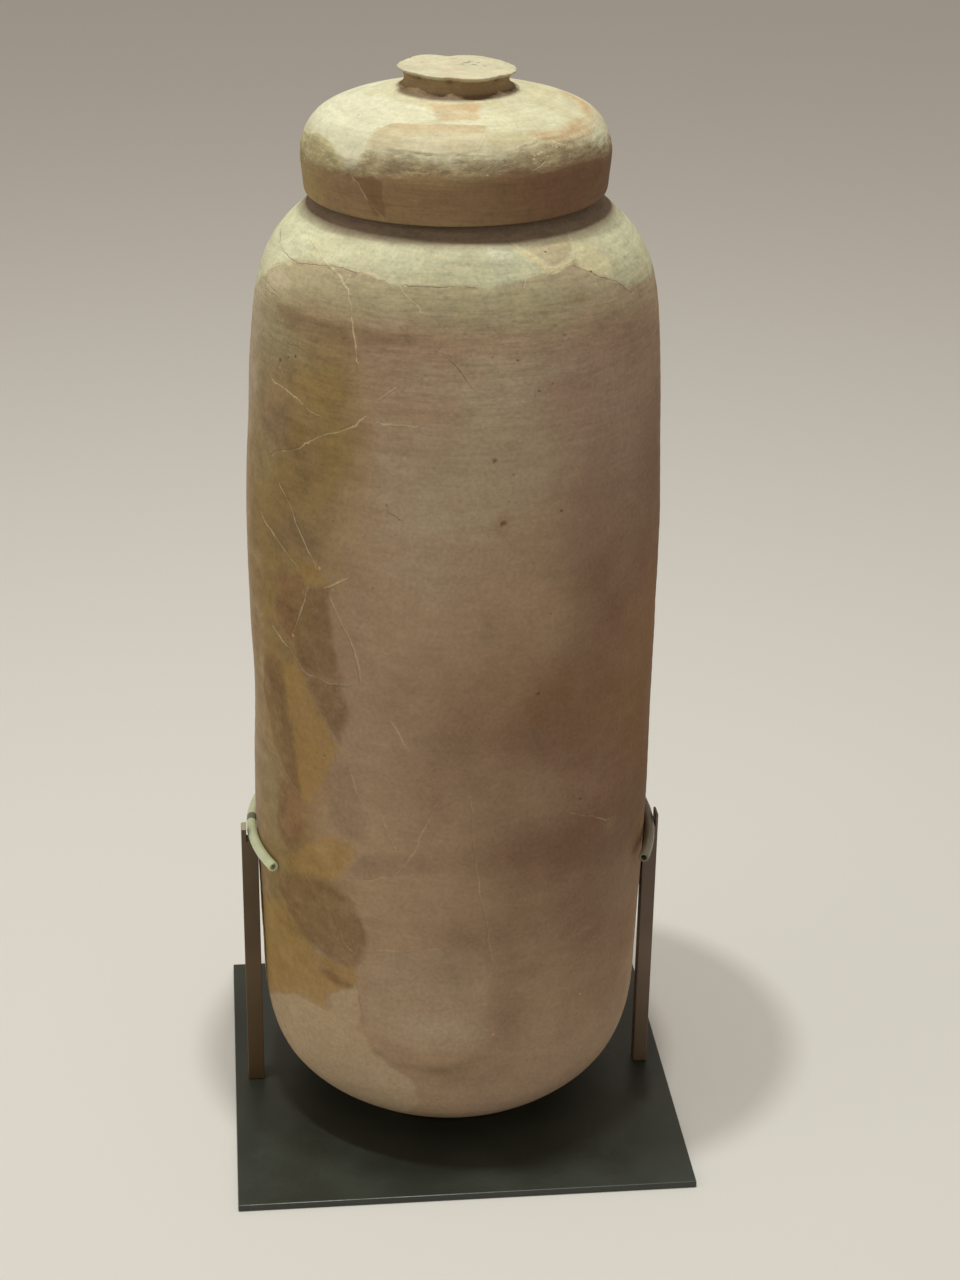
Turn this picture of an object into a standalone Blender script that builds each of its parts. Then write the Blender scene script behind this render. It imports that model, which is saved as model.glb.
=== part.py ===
"""A clay scroll jar with its bowl-shaped lid, standing in a small display cradle.

Metres, +Z up, +X to the right along the front edge of the base plate, +Y towards the back.
The origin is the middle of the base plate's underside.
"""
import math

import bmesh
import bpy
from mathutils import Vector

GAP = 0.0003  # between pieces that touch

# Base plate
PLATE_WIDTH = 0.300
PLATE_DEPTH = 0.289
PLATE_THICKNESS = 0.0045
PLATE_EDGE = 0.0007

# The jar stands a little behind the middle of the plate
JAR_Y = 0.0127
JAR_FOOT_Z = PLATE_THICKNESS + GAP
ROUND_SIDES = 48

# Outer wall of the jar: height above its foot, radius
JAR_FOOT = [(0.0, 0.0752), (0.0010, 0.0765), (0.0043, 0.0765)]
JAR_BODY = [
    (0.0057, 0.0805),
    (0.0152, 0.0948),
    (0.0350, 0.1157),
    (0.0630, 0.1253),
    (0.1050, 0.1278),
    (0.1930, 0.1300),
    (0.2350, 0.1306),
    (0.2950, 0.1301),
    (0.3550, 0.1310),
    (0.4150, 0.1314),
    (0.4750, 0.1288),
    (0.5350, 0.1260),
    (0.5650, 0.1226),
    (0.5850, 0.1170),
    (0.6000, 0.1080),
    (0.6150, 0.0925),
    (0.6225, 0.0845),
]
JAR_NECK = [(0.6300, 0.0797), (0.6400, 0.0785), (0.6520, 0.0790)]
RIM_TOP = 0.6663
RIM_MIDDLE = 0.0748
RIM_ROUND = 0.0044

# Inside of the jar
JAR_WALL = 0.0085
JAR_FLOOR = 0.0110

# Sideways wander of the wall left by the potter: height above the foot, offset to +X
JAR_WANDER = [
    (0.0, 0.0004),
    (0.025, -0.0011),
    (0.060, -0.0004),
    (0.110, 0.0003),
    (0.200, 0.0),
    (0.300, 0.0007),
    (0.450, 0.0),
    (0.560, 0.0009),
    (0.615, 0.0015),
    (0.640, 0.0003),
    (0.670, -0.0004),
]

# Lid: height above the foot of the jar, radius
LID_X = -0.0004
LID_Y = 0.0130
LID_LIP = 0.0012
LID_WALL = [(0.6246, 0.0911), (0.6350, 0.0920), (0.6465, 0.0930)]
LID_DOME = [
    (0.6520, 0.0928),
    (0.6580, 0.0912),
    (0.6650, 0.0878),
    (0.6705, 0.0828),
    (0.6755, 0.0732),
    (0.6795, 0.0600),
    (0.6822, 0.0480),
    (0.6840, 0.0390),
]
KNOB_STEM = [(0.6862, 0.0340), (0.6890, 0.0312), (0.6925, 0.0312), (0.6946, 0.0334)]
KNOB_EDGE = [(0.6956, 0.0352), (0.6964, 0.0354), (0.6972, 0.0342)]
KNOB_TOP = 0.6968
LID_THICKNESS = 0.0066
LID_CEILING = 0.6782

# The lid sits a little high on the right; its knob is lower on the right and higher in front
LID_SLOPE = 0.0096
KNOB_SLOPE = -0.0300
KNOB_TILT = -0.0167
SLOPE_START = 0.6300
SLOPE_EASE = 0.0200
KNOB_START = 0.6840
KNOB_EASE = 0.0080

# Inside this radius the knob's top is whole
KNOB_WHOLE = 0.0100

# Worn edge of the knob: direction in degrees from +X, change of radius, half-width in degrees
KNOB_CHIPS = [
    (62, 0.0030, 18),
    (95, -0.0034, 9),
    (118, 0.0048, 13),
    (216, -0.0032, 14),
    (259, -0.0034, 6),
    (284, 0.0026, 13),
    (313, -0.0014, 5),
]

# Cradle; -1 is the left side, 1 the right
POST_DEPTH = 0.0102
POST_INNER = 0.1299
POST_OUTER = {-1: 0.1409, 1: 0.1393}
POST_TOP = 0.2038
POST_ROUND = 0.0004
POST_CHAMFER_WIDTH = 0.0006
POST_CHAMFER_HEIGHT = 0.0009
ARM_Z = 0.1978
ARM_OUT = 0.1338
ARM_BEND = {-1: 0.1338, 1: 0.1800}
ARM_REACH = {-1: 25.9, 1: 21.3}
ROD_RADIUS = 0.0015
COLLAR_RADIUS = 0.0033
SLEEVE_RADIUS = 0.0034
SLEEVE_BORE = ROD_RADIUS + GAP
SLEEVE_OVERHANG = 2.0
COLLAR_FRONT = 1.2
COLLAR_BACK = 4.7
TUBE_SIDES = 8
ARC_STEP = 3.0


def clear_scene():
    for thing in list(bpy.data.objects):
        bpy.data.objects.remove(thing, do_unlink=True)


def make_material(name, colour, roughness, metallic=0.0):
    material = bpy.data.materials.new(name)
    material.use_nodes = True
    shader = material.node_tree.nodes["Principled BSDF"]
    shader.inputs["Base Color"].default_value = (*colour, 1.0)
    shader.inputs["Roughness"].default_value = roughness
    shader.inputs["Metallic"].default_value = metallic
    return material


def make_object(name, shape, material, place=(0.0, 0.0, 0.0), smooth=True):
    """Turn a bmesh into a named object with outward normals."""
    bmesh.ops.remove_doubles(shape, verts=shape.verts, dist=1e-6)
    bmesh.ops.recalc_face_normals(shape, faces=shape.faces)
    mesh = bpy.data.meshes.new(name)
    shape.to_mesh(mesh)
    shape.free()
    mesh.materials.append(material)
    if smooth:
        mesh.shade_smooth()
        mesh.set_sharp_from_angle(angle=math.radians(40))
    thing = bpy.data.objects.new(name, mesh)
    thing.location = place
    bpy.context.collection.objects.link(thing)
    return thing


def read_along(stations, at):
    """Value at a height, in straight lines between the stations."""
    if at <= stations[0][0]:
        return stations[0][1]
    for (low, first), (high, second) in zip(stations, stations[1:]):
        if at <= high:
            return first + (second - first) * (at - low) / (high - low)
    return stations[-1][1]


def inset(outline, thickness):
    """The outline of a wall's inner face: each (height, radius) point moved square to the outer face."""
    points = [Vector(point) for point in outline]
    moved = []
    for before, point, after in zip([points[0], *points], points, [*points[1:], points[-1]]):
        along = (after - before).normalized()
        moved.append(point + thickness * Vector((along.y, -along.x)))
    return moved


def turn(profile):
    """Spin a profile of (height, radius) points, both ends on the axis, into a closed shape."""
    shape = bmesh.new()
    corners = [shape.verts.new((radius, 0.0, height)) for height, radius in profile]
    edges = [shape.edges.new(pair) for pair in zip(corners, corners[1:])]
    bmesh.ops.spin(
        shape,
        geom=[*corners, *edges],
        cent=(0.0, 0.0, 0.0),
        axis=(0.0, 0.0, 1.0),
        angle=math.tau,
        steps=ROUND_SIDES,
        use_merge=True,
    )
    bmesh.ops.remove_doubles(shape, verts=shape.verts, dist=1e-6)
    return shape


def rim_arc():
    """The rounded top of the jar's neck, from its outer side over to its inner side."""
    centre = RIM_TOP - RIM_ROUND
    angles = [math.radians(a) for a in (0, 40, 75, 105, 140, 180)]
    return [(centre + RIM_ROUND * math.sin(a), RIM_MIDDLE + RIM_ROUND * math.cos(a)) for a in angles]


def make_jar(material):
    outside = [(0.0, 0.0), *JAR_FOOT, *JAR_BODY, *JAR_NECK]
    inside = [*reversed(inset([*JAR_BODY, *JAR_NECK[:-1]], JAR_WALL)), (JAR_FLOOR, 0.0)]
    shape = turn([*outside, *rim_arc(), *inside])
    for corner in shape.verts:
        height = corner.co.z
        rise = min(max((height - SLOPE_START) / SLOPE_EASE, 0.0), 1.0)
        corner.co.z += LID_SLOPE * rise * corner.co.x
        corner.co.x += read_along(JAR_WANDER, height)
    return make_object("jar", shape, material, (0.0, JAR_Y, JAR_FOOT_Z))


def chipped(angle):
    """Change of the knob's radius in a direction, in degrees."""
    change = 0.0
    for middle, depth, width in KNOB_CHIPS:
        away = (angle - middle + 180) % 360 - 180
        change += depth * math.exp(-((away / width) ** 2))
    return change


def make_lid(material):
    low, wide = LID_WALL[0]
    lip = [(low, wide - LID_LIP), (low + LID_LIP, wide)]
    inside = [(LID_CEILING, 0.0), *reversed(inset([*LID_WALL, *LID_DOME], LID_THICKNESS))]
    outside = [*lip, *LID_WALL[1:], *LID_DOME]
    knob = [*KNOB_STEM, *KNOB_EDGE, (KNOB_TOP, 0.0)]
    shape = turn([*inside, *outside, *knob])
    edge_low = (KNOB_STEM[-2][0] + KNOB_STEM[-1][0]) / 2
    for corner in shape.verts:
        x, y, z = corner.co
        radius = math.hypot(x, y)
        if z > edge_low and radius > KNOB_WHOLE:
            grown = 1 + chipped(math.degrees(math.atan2(y, x)) % 360) / radius
            corner.co.x = x * grown
            corner.co.y = y * grown
        lean = min(max((z - KNOB_START) / KNOB_EASE, 0.0), 1.0)
        corner.co.z += LID_SLOPE * corner.co.x
        corner.co.z += (KNOB_SLOPE * corner.co.x + KNOB_TILT * corner.co.y) * lean
    return make_object("lid", shape, material, (LID_X, LID_Y, JAR_FOOT_Z))


def make_plate(material):
    shape = bmesh.new()
    bmesh.ops.create_cube(shape, size=1.0)
    size = (PLATE_WIDTH, PLATE_DEPTH, PLATE_THICKNESS)
    bmesh.ops.scale(shape, vec=size, verts=shape.verts)
    plate = make_object("base_plate", shape, material, (0.0, 0.0, PLATE_THICKNESS / 2), smooth=False)
    add_bevel(plate, PLATE_EDGE)
    return plate


def add_bevel(thing, width):
    bevel = thing.modifiers.new("Worn edges", "BEVEL")
    bevel.width = width
    bevel.segments = 2
    bevel.limit_method = "ANGLE"
    bevel.angle_limit = math.radians(50)


def make_post(name, side, material):
    """A square post with a seat for the arm cut into its top; side is -1 on the left, 1 on the right."""
    low = PLATE_THICKNESS + GAP
    seat = ARM_Z - SLEEVE_RADIUS - GAP
    outer = POST_OUTER[side]
    lip = ARM_OUT + SLEEVE_RADIUS + GAP
    section = [
        (POST_INNER, low),
        (outer, low),
        (outer, POST_TOP - POST_CHAMFER_HEIGHT),
        (outer - POST_CHAMFER_WIDTH, POST_TOP),
        (lip, POST_TOP),
        (lip, seat),
        (POST_INNER, seat),
    ]
    shape = bmesh.new()
    front = [shape.verts.new((side * x, -POST_DEPTH / 2, z)) for x, z in section]
    face = shape.faces.new(front)
    grown = bmesh.ops.extrude_face_region(shape, geom=[face])
    back = [part for part in grown["geom"] if isinstance(part, bmesh.types.BMVert)]
    bmesh.ops.translate(shape, vec=(0.0, POST_DEPTH, 0.0), verts=back)
    post = make_object(name, shape, material, smooth=False)
    add_bevel(post, POST_ROUND)
    return post


def arc_steps(start, end):
    count = max(2, round(abs(end - start) / ARC_STEP))
    return [start + (end - start) * n / count for n in range(count + 1)]


def ring_on_arm(shape, side, angle, radius):
    """A ring of corners square to an arm, at an angle in degrees along its bend, positive to the back."""
    turned = math.radians(angle)
    bend = ARM_BEND[side]
    ring = []
    for n in range(TUBE_SIDES):
        around = math.tau * n / TUBE_SIDES
        reach = bend + radius * math.cos(around)
        out = ARM_OUT - bend + reach * math.cos(turned)
        place = (side * out, reach * math.sin(turned), radius * math.sin(around))
        ring.append(shape.verts.new(place))
    return ring


def join_rings(shape, rings, closed):
    pairs = list(zip(rings, rings[1:]))
    if closed:
        pairs.append((rings[-1], rings[0]))
    for first, second in pairs:
        for n in range(TUBE_SIDES):
            after = (n + 1) % TUBE_SIDES
            shape.faces.new((first[n], first[after], second[after], second[n]))


def make_arm(name, side, material):
    """A bent rod with a collar behind its post."""
    tip = ARM_REACH[side] - SLEEVE_OVERHANG
    slack = math.degrees(GAP / ARM_BEND[side])
    collar = (COLLAR_FRONT + slack, COLLAR_BACK - slack)
    shape = bmesh.new()
    rings = [ring_on_arm(shape, side, a, ROD_RADIUS) for a in arc_steps(-tip, collar[0])]
    rings += [ring_on_arm(shape, side, a, COLLAR_RADIUS) for a in collar]
    rings += [ring_on_arm(shape, side, a, ROD_RADIUS) for a in arc_steps(collar[1], tip)]
    join_rings(shape, rings, closed=False)
    shape.faces.new(rings[0])
    shape.faces.new(rings[-1])
    return make_object(name, shape, material, (0.0, JAR_Y, ARM_Z))


def make_sleeve(name, side, start, end, material):
    """A length of tubing on the arm, open at both ends."""
    shape = bmesh.new()
    steps = arc_steps(start, end)
    outside = [ring_on_arm(shape, side, a, SLEEVE_RADIUS) for a in steps]
    bore = [ring_on_arm(shape, side, a, SLEEVE_BORE) for a in reversed(steps)]
    join_rings(shape, [*outside, *bore], closed=True)
    return make_object(name, shape, material, (0.0, JAR_Y, ARM_Z))


def main():
    clear_scene()
    clay = make_material("clay", (0.46, 0.36, 0.24), 0.85)
    lid_clay = make_material("lid clay", (0.52, 0.42, 0.29), 0.85)
    plate_paint = make_material("plate paint", (0.045, 0.050, 0.045), 0.45)
    post_paint = make_material("post paint", (0.075, 0.055, 0.040), 0.50)
    rod_metal = make_material("rod metal", (0.22, 0.23, 0.17), 0.50, 0.6)
    tubing = make_material("tubing", (0.52, 0.55, 0.42), 0.40)

    make_plate(plate_paint)
    make_jar(clay)
    make_lid(lid_clay)
    for word, side in (("left", -1), ("right", 1)):
        make_post(f"{word}_post", side, post_paint)
        make_arm(f"{word}_arm", side, rod_metal)
        make_sleeve(f"{word}_front_sleeve", side, -ARM_REACH[side], COLLAR_FRONT, tubing)
        make_sleeve(f"{word}_rear_sleeve", side, COLLAR_BACK, ARM_REACH[side], tubing)


main()
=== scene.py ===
"""A mended clay scroll jar with its lid, in a display cradle: its looks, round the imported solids.

Metres, +Z up, +X to the right along the base plate's front edge, +Y to the back.
A place on the clay is (turn, height): degrees round from the front towards the right, and
millimetres above the ground.
"""
import math

import bpy
import numpy as np
from mathutils import Matrix, Vector, noise


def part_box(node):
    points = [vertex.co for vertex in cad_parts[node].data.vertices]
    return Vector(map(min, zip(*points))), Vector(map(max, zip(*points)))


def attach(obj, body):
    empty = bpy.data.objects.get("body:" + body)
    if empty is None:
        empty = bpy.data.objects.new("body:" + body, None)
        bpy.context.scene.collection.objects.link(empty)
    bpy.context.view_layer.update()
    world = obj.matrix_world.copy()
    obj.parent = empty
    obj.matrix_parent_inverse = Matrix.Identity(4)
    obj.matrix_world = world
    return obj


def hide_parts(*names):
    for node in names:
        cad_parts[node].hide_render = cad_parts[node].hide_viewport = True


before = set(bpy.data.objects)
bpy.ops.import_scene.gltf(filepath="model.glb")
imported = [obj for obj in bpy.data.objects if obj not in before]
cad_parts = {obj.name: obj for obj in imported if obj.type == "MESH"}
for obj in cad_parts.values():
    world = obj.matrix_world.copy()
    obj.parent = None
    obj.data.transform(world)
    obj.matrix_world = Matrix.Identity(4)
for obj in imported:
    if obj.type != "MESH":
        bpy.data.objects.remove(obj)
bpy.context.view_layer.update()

MM = 0.001
JAR_LOW, JAR_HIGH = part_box("jar")
FOOT = JAR_LOW.z
JAR_MIDDLE = Vector((0.0, (JAR_LOW.y + JAR_HIGH.y) / 2, 0.0))
LID_MIDDLE = Vector((-0.0004, 0.013, 0.0))
SIDES = 72
ROUNDING = 1.0013  # makes up for what smoothing takes off a ring of that many sides
SMOOTH_STEPS = 16  # points of a smooth line between two stations, before it is spaced out
FAR = 900.0  # mm, farther than any distance on the clay
TINY = 1e-9  # keeps a division from a zero
NOISE_GAIN = 1.6  # the noise itself reaches only about 0.6

# Jar, (height above the foot, radius)
FOOT_RING = [(0.0, 0.0748), (0.0012, 0.0764), (0.0042, 0.0768)]
BODY = [
    (0.0057, 0.0805), (0.0152, 0.0948), (0.035, 0.1157), (0.063, 0.1253), (0.105, 0.1278), (0.193, 0.13),
    (0.235, 0.1306), (0.295, 0.1301), (0.355, 0.131), (0.415, 0.1314), (0.475, 0.1288), (0.535, 0.126),
    (0.565, 0.1226), (0.585, 0.117), (0.6, 0.108), (0.615, 0.0925), (0.6225, 0.0845),
]
NECK = [(0.63, 0.0797), (0.64, 0.0785), (0.654, 0.079)]
MOUTH_EDGE = [(0.663, 0.0788), (0.6661, 0.0765), (0.6661, 0.0732), (0.663, 0.0708)]
NECK_INSIDE = (0.65, 0.0705)
BODY_WALL = 0.0085
JAR_FLOOR = (0.013, 0.05)
BODY_STEP = 0.013  # between two rings of the outer wall
BODY_INNER_STEP = 0.06
FOOT_EASE = 0.01  # the relief starts this far above the foot
# Sideways wander of the wall left by the potter: height above the foot, offset to +X
WANDER = [
    (0.0, 0.0004), (0.025, -0.0011), (0.06, -0.0004), (0.11, 0.0003), (0.2, 0.0), (0.3, 0.0007),
    (0.45, 0.0), (0.56, 0.0009), (0.615, 0.0015), (0.64, 0.0003), (0.67, -0.0004),
]

# Lid, (height above the jar's foot, radius)
LID_LIP = [(0.6252, 0.0864), (0.6245, 0.0888), (0.625, 0.0907)]
LID_WALL = [(0.6275, 0.0914), (0.635, 0.092), (0.6465, 0.093)]
LID_DOME = [
    (0.652, 0.0929), (0.658, 0.0913), (0.665, 0.0878), (0.6705, 0.0828), (0.6755, 0.0732), (0.6795, 0.06),
    (0.6822, 0.048), (0.6838, 0.0395),
]
KNOB_STEM = [(0.6856, 0.0348), (0.688, 0.0318), (0.6905, 0.031), (0.693, 0.0314)]
KNOB_EDGE = [(0.6945, 0.033), (0.6954, 0.0348), (0.696, 0.0355), (0.6967, 0.0354), (0.6972, 0.0344)]
KNOB_FACE = [(0.6972, 0.0318), (0.6969, 0.0262), (0.6966, 0.0195), (0.6965, 0.0115), (0.6966, 0.005)]
LID_THICKNESS = 0.0066
LID_CEILING = (0.6778, 0.03)
LID_STEP = 0.0031
LID_INNER_STEP = 0.014
# The lid sits a little high on the right; its knob is lower on the right and higher in front
LID_SLOPE = 0.0096
KNOB_SLOPE = -0.03
KNOB_TILT = -0.0167
SLOPE_START = 0.63
SLOPE_EASE = 0.02
KNOB_START = 0.684
KNOB_EASE = 0.008
KNOB_EDGE_START = 0.6925
KNOB_EDGE_EASE = 0.001
KNOB_WHOLE = 0.02  # inside this radius the knob's top has no chips
KNOB_CHIP_EASE = 0.012

# Worn edge of the knob: direction in degrees from +X, change of radius, half-width in degrees
KNOB_CHIPS = [
    (62, 0.003, 18), (95, -0.0034, 9), (118, 0.0048, 13), (216, -0.0022, 14), (259, -0.0019, 6),
    (284, 0.0026, 13), (313, -0.0014, 5),
]


# ---- working by hand


def pick(*pieces):
    """Leave only these objects selected, the first one active."""
    bpy.ops.object.select_all(action="DESELECT")
    for piece in pieces:
        piece.select_set(True)
    bpy.context.view_layer.objects.active = pieces[0]


def settle(piece):
    """Put a finished piece's place into its mesh."""
    pick(piece)
    bpy.ops.object.transform_apply(location=True, rotation=True, scale=True)


def finish_with(piece, kind, **settings):
    """Add a modifier and apply it."""
    modifier = piece.modifiers.new(kind.title(), kind)
    for name, value in settings.items():
        setattr(modifier, name, value)
    pick(piece)
    bpy.ops.object.modifier_apply(modifier=modifier.name)


def curve_through(stations, spacing):
    """Points at about equal spacing on a smooth line through the stations."""
    points = np.array(stations)
    steps = np.linalg.norm(np.diff(points, axis=0), axis=1)
    slopes = np.diff(points, axis=0) / steps[:, None]
    before, after = steps[:-1, None], steps[1:, None]
    middle = (slopes[:-1] * after + slopes[1:] * before) / (before + after)
    leads = np.vstack([slopes[:1], middle, slopes[-1:]])
    fine = []
    for n, step in enumerate(steps):
        for t in np.linspace(0, 1, SMOOTH_STEPS, endpoint=False):
            fine.append(
                points[n] * (1 - 3 * t**2 + 2 * t**3)
                + points[n + 1] * (3 * t**2 - 2 * t**3)
                + leads[n] * step * (t - 2 * t**2 + t**3)
                + leads[n + 1] * step * (t**3 - t**2)
            )
    fine = np.vstack([fine, points[-1:]])
    along = lengths(fine)
    wanted = np.linspace(0, along[-1], max(2, round(along[-1] / spacing)) + 1)
    return [tuple(np.interp(w, along, fine[:, k]) for k in (0, 1)) for w in wanted]


def lengths(points):
    """How far along a line each of its points is."""
    steps = np.linalg.norm(np.diff(np.array(points), axis=0), axis=1)
    return np.concatenate([[0.0], np.cumsum(steps)])


def inset(outline, thickness):
    """The inner face of a wall whose outer face has this outline."""
    points = [Vector(point) for point in outline]
    moved = []
    for before, point, after in zip([points[0], *points], points, [*points[1:], points[-1]]):
        heading = (after - before).normalized()
        moved.append(tuple(point + thickness * Vector((heading.y, -heading.x))))
    return moved


def turned(name, outline, middle):
    """Throw a closed round body: a disc is drawn up ring by ring, each ring resized to its radius."""
    height, radius = outline[0]
    bpy.ops.object.select_all(action="DESELECT")
    bpy.ops.mesh.primitive_circle_add(
        vertices=SIDES,
        radius=radius * ROUNDING,
        fill_type="NGON",
        location=(middle.x, middle.y, FOOT + height),
    )
    piece = bpy.context.object
    piece.name = piece.data.name = name
    bpy.ops.object.mode_set(mode="EDIT")
    bpy.ops.mesh.select_all(action="SELECT")
    for after, wider in outline[1:]:
        bpy.ops.mesh.extrude_region_move(TRANSFORM_OT_translate={"value": (0, 0, after - height)})
        grow = wider / radius
        bpy.ops.transform.resize(value=(grow, grow, 1.0), center_override=(middle.x, middle.y, 0))
        height, radius = after, wider
    bpy.ops.mesh.select_all(action="SELECT")
    bpy.ops.mesh.normals_make_consistent(inside=False)
    bpy.ops.object.mode_set(mode="OBJECT")
    settle(piece)
    finish_with(piece, "SUBSURF", levels=2, render_levels=2)
    return piece


# ---- places on the clay


def half_turn(angle):
    """The same angle, brought between -180 and 180 degrees."""
    return (angle + 180) % 360 - 180


def step_up(depth, width):
    """0 outside an edge, 1 inside it, easing over a width."""
    share = np.clip(depth / width + 0.5, 0, 1)
    return share * share * (3 - 2 * share)


class Skin:
    """A turned piece's surface, unrolled: degrees round from the front, distance along its outline."""

    def __init__(self, piece, outline, middle, outside):
        self.piece = piece
        count = len(piece.data.vertices)
        spots = np.empty(count * 3)
        piece.data.vertices.foreach_get("co", spots)
        self.spots = spots.reshape(-1, 3)
        across = self.spots[:, :2] - np.array(middle)[:2]
        self.turn = np.degrees(np.arctan2(across[:, 0], -across[:, 1]))
        self.radius = np.hypot(*across.T)
        self.height = self.spots[:, 2]
        self.outline = np.array(outline) + [FOOT, 0.0]
        self.marks = lengths(self.outline)
        self.outside = outside
        self.along = self.place_on_outline()
        self.round_mm = self.radius * math.radians(1) / MM
        self.at_turn = self.turn - self.wander(21.0) / np.maximum(self.round_mm, 0.2)
        self.at_along = self.along - self.wander(33.0) * MM

    def wander(self, seed):
        """How far, in mm, a drawn line or edge strays from its place."""
        return self.noise(24, seed=seed) * 1.3 + self.noise(8, seed=seed + 6.0) * 0.6

    def place_on_outline(self):
        """The distance along the outline of the place on it that is nearest to each spot."""
        best = np.full(len(self.spots), FAR)
        along = np.zeros(len(self.spots))
        for start, end, mark in zip(self.outline, self.outline[1:], self.marks):
            way = end - start
            h, r = self.height - start[0], self.radius - start[1]
            share = np.clip((h * way[0] + r * way[1]) / (way @ way), 0, 1)
            away = np.hypot(h - share * way[0], r - share * way[1])
            nearer = away < best
            best = np.where(nearer, away, best)
            along = np.where(nearer, mark + share * math.hypot(*way), along)
        return along

    def on_wall(self, line):
        """(turn, height in mm) points as (turn, distance along the outline)."""
        first, last = self.outside
        heights, marks = self.outline[first:last, 0], self.marks[first:last]
        order = np.argsort(heights)
        return [(turn, float(np.interp(h * MM, heights[order], marks[order]))) for turn, h in line]

    def on_dome(self, line):
        """(turn, radius in mm) points as (turn, distance along the outline)."""
        first, last = self.outside
        radii, marks = self.outline[first:last, 1], self.marks[first:last]
        low = int(np.argmax(radii))
        return [(turn, float(np.interp(r * MM, radii[low:][::-1], marks[low:][::-1]))) for turn, r in line]

    def reach(self, line):
        """Distance to a line, in mm, and the side of it that each spot is on."""
        best = np.full(len(self.spots), FAR)
        side = np.ones(len(self.spots))
        for (turn_a, along_a), (turn_b, along_b) in zip(line, line[1:]):
            ax = half_turn(turn_a - self.at_turn) * self.round_mm
            ay = (along_a - self.at_along) / MM
            dx, dy = (turn_b - turn_a) * self.round_mm, (along_b - along_a) / MM
            share = np.clip(-(ax * dx + ay * dy) / (dx * dx + dy * dy + TINY), 0, 1)
            away = np.hypot(ax + share * dx, ay + share * dy)
            nearer = away < best
            side = np.where(nearer, np.where(dx * ay - dy * ax < 0, 1.0, -1.0), side)
            best = np.where(nearer, away, best)
        return best, side

    def joins(self, name, lines):
        """Store the distance to the nearest of many lines, with a sign for its side and without, in mm."""
        near = np.full(len(self.spots), FAR)
        signed = np.full(len(self.spots), FAR)
        for line in lines:
            away, side = self.reach(line)
            nearer = away < near
            near = np.where(nearer, away, near)
            signed = np.where(nearer, away * side, signed)
        self.keep(f"{name}_side", signed)
        self.keep(f"{name}_near", near)
        return near

    def patch(self, shapes):
        """How deep inside the nearest of some closed shapes each spot is, in mm; below 0 it is outside."""
        depth = np.full(len(self.spots), -FAR)
        for shape in shapes:
            away, _ = self.reach([*shape, shape[0]])
            centre = sum(turn for turn, _ in shape) / len(shape)
            turn = half_turn(self.at_turn - centre)
            inside = np.zeros(len(turn), bool)
            for (turn_a, along_a), (turn_b, along_b) in zip(shape, [*shape[1:], shape[0]]):
                crosses = (along_a > self.at_along) != (along_b > self.at_along)
                rise = along_b - along_a if along_b != along_a else TINY
                at = turn_a - centre + (turn_b - turn_a) * (self.at_along - along_a) / rise
                inside ^= crosses & (turn < at)
            depth = np.maximum(depth, np.where(inside, away, -away))
        return depth

    def above(self, line):
        """How far above a line that runs all round the piece each spot is, in mm."""
        line = sorted(line)
        turns, marks = zip(*line)
        edge = np.interp(self.at_turn, turns, marks, period=360)
        away, _ = self.reach([*line, (turns[0] + 360, marks[0])])
        return np.where(self.at_along > edge, away, -away)

    def noise(self, size, stretch=1.0, seed=0.0):
        """Smooth noise from about -1 to 1 with bumps of a size in mm, stretched round the piece."""
        scale = np.array([1 / (size * stretch), 1 / (size * stretch), 1 / size]) / MM
        points = self.spots * scale + seed
        return np.array([noise.noise(Vector(p)) for p in points]) * NOISE_GAIN

    def clouds(self, places):
        """A sum of soft clouds: (turn, height, half-width, half-height, strength), sizes in mm."""
        total = np.zeros(len(self.spots))
        for turn, height, wide, tall, strength in places:
            mark = self.on_wall([(turn, height)])[0][1]
            u = half_turn(self.turn - turn) * self.round_mm
            v = (self.along - mark) / MM
            total += strength * np.exp(-((u / wide) ** 2) - (v / tall) ** 2)
        return total

    def push(self, amount):
        """Move each spot square to the surface by an amount in mm."""
        facing = np.empty(len(self.spots) * 3)
        self.piece.data.vertex_normals.foreach_get("vector", facing)
        self.spots = self.spots + facing.reshape(-1, 3) * (amount * MM)[:, None]
        self.write()

    def write(self):
        """Put the moved spots back in the mesh."""
        self.piece.data.vertices.foreach_set("co", self.spots.ravel())
        self.piece.data.update()

    def keep(self, name, values):
        """Store a value a spot, for the material to read."""
        layer = self.piece.data.attributes.new(name, "FLOAT", "POINT")
        layer.data.foreach_set("value", values.astype(np.float32))


# ---- the jar

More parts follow.
